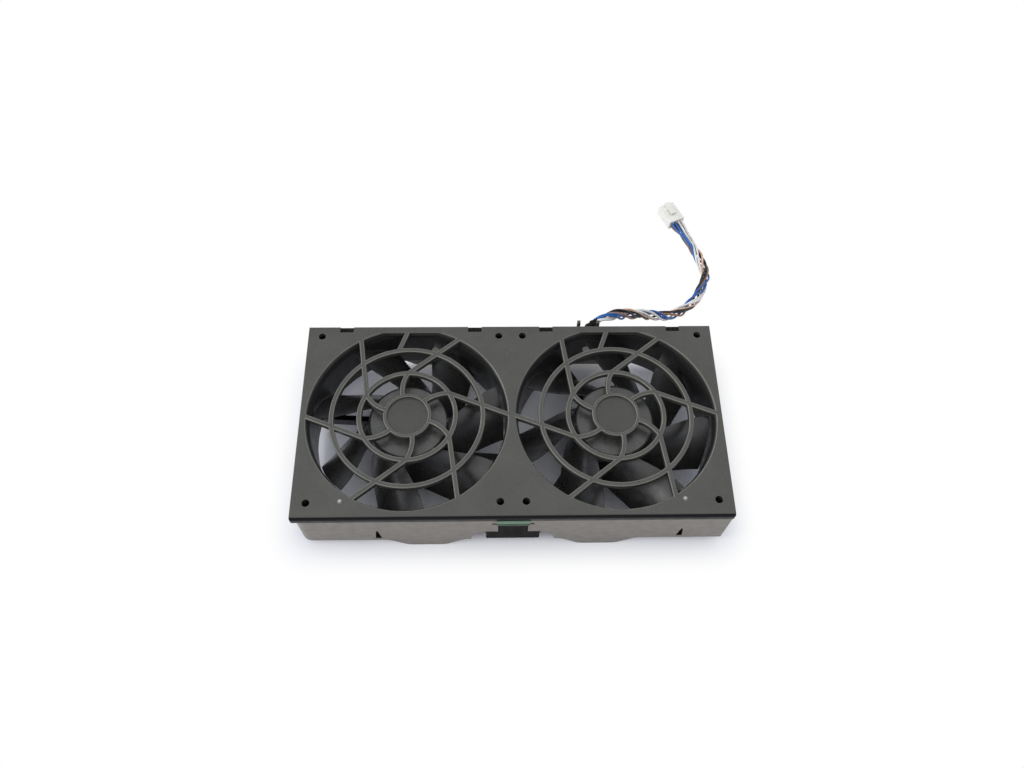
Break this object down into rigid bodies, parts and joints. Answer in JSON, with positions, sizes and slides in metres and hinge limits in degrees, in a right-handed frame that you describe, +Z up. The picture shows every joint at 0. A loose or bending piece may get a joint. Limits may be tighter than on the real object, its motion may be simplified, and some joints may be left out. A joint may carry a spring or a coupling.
{
  "type": "cooling fan module",
  "caption": "Fan module with swept-blade axial fans side by side in a moulded carrier with spiral intake grilles, a hinged release latch and a wired connector.",
  "frame": {"origin": "on the surface under the feet, midway between the fan axes", "axes": "+X from the left fan to the right fan, +Y from the latch to the side where the wires leave, +Z up out of the intake grilles"},
  "size_m": [0.2033, 0.1976, 0.0366],
  "materials": {
    "carrier_plastic": "fine moulded grain",
    "latch_plastic": "moulded, dark",
    "touch_pad": "moulded, pale green",
    "wire_insulation": "smooth insulation in several colours",
    "connector_plastic": "natural ivory",
    "contacts": "tinned",
    "frame_plastic": "moulded black",
    "impeller_plastic": "moulded black, smooth",
    "brass": "turned",
    "bearing_steel": "ground",
    "core_steel": "stacked sheet",
    "insulator": "moulded natural",
    "copper": "enamelled copper wire",
    "board": "green solder mask",
    "chips": "moulded black",
    "yoke_steel": "drawn sheet",
    "magnet": "bonded ferrite"
  },
  "bodies": {
    "carrier": {"carrier": "carrier_plastic", "cable_bundle": "wire_insulation", "connector_housing": "connector_plastic", "connector_terminals": "contacts", "left_fan_frame": "frame_plastic", "left_bearing_tube": "brass", "left_bearing_outer_rings": "bearing_steel", "left_stator_core": "core_steel", "left_stator_insulator": "insulator", "left_stator_windings": "copper", "left_circuit_board": "board", "left_board_chips": "chips", "left_fan_lead": "wire_insulation", "right_fan_frame": "frame_plastic", "right_bearing_tube": "brass", "right_bearing_outer_rings": "bearing_steel", "right_stator_core": "core_steel", "right_stator_insulator": "insulator", "right_stator_windings": "copper", "right_circuit_board": "board", "right_board_chips": "chips", "right_fan_lead": "wire_insulation"},
    "left_rotor": {"left_impeller": "impeller_plastic", "left_rotor_yoke": "yoke_steel", "left_ring_magnet": "magnet", "left_rotor_shaft": "bearing_steel", "left_bearing_inner_rings": "bearing_steel", "left_preload_spring": "bearing_steel", "left_shaft_clip": "bearing_steel"},
    "right_rotor": {"right_impeller": "impeller_plastic", "right_rotor_yoke": "yoke_steel", "right_ring_magnet": "magnet", "right_rotor_shaft": "bearing_steel", "right_bearing_inner_rings": "bearing_steel", "right_preload_spring": "bearing_steel", "right_shaft_clip": "bearing_steel"},
    "latch": {"latch_lever": "latch_plastic", "latch_touch_pad": "touch_pad"}
  },
  "joints": [
    {"name": "left_rotor_spin", "type": "hinge", "parent": "carrier", "child": "left_rotor", "pos_m": [-0.0468, 0, 0.02], "axis": [0, 0, 1], "continuous": true},
    {"name": "right_rotor_spin", "type": "hinge", "parent": "carrier", "child": "right_rotor", "pos_m": [0.0468, 0, 0.02], "axis": [0, 0, 1], "continuous": true},
    {"name": "latch_pivot", "type": "hinge", "parent": "carrier", "child": "latch", "pos_m": [0, -0.0448, 0.0154], "axis": [-1, 0, 0], "range_deg": [0, 5], "stiffness_Nm_per_rad": 0.2}
  ]
}
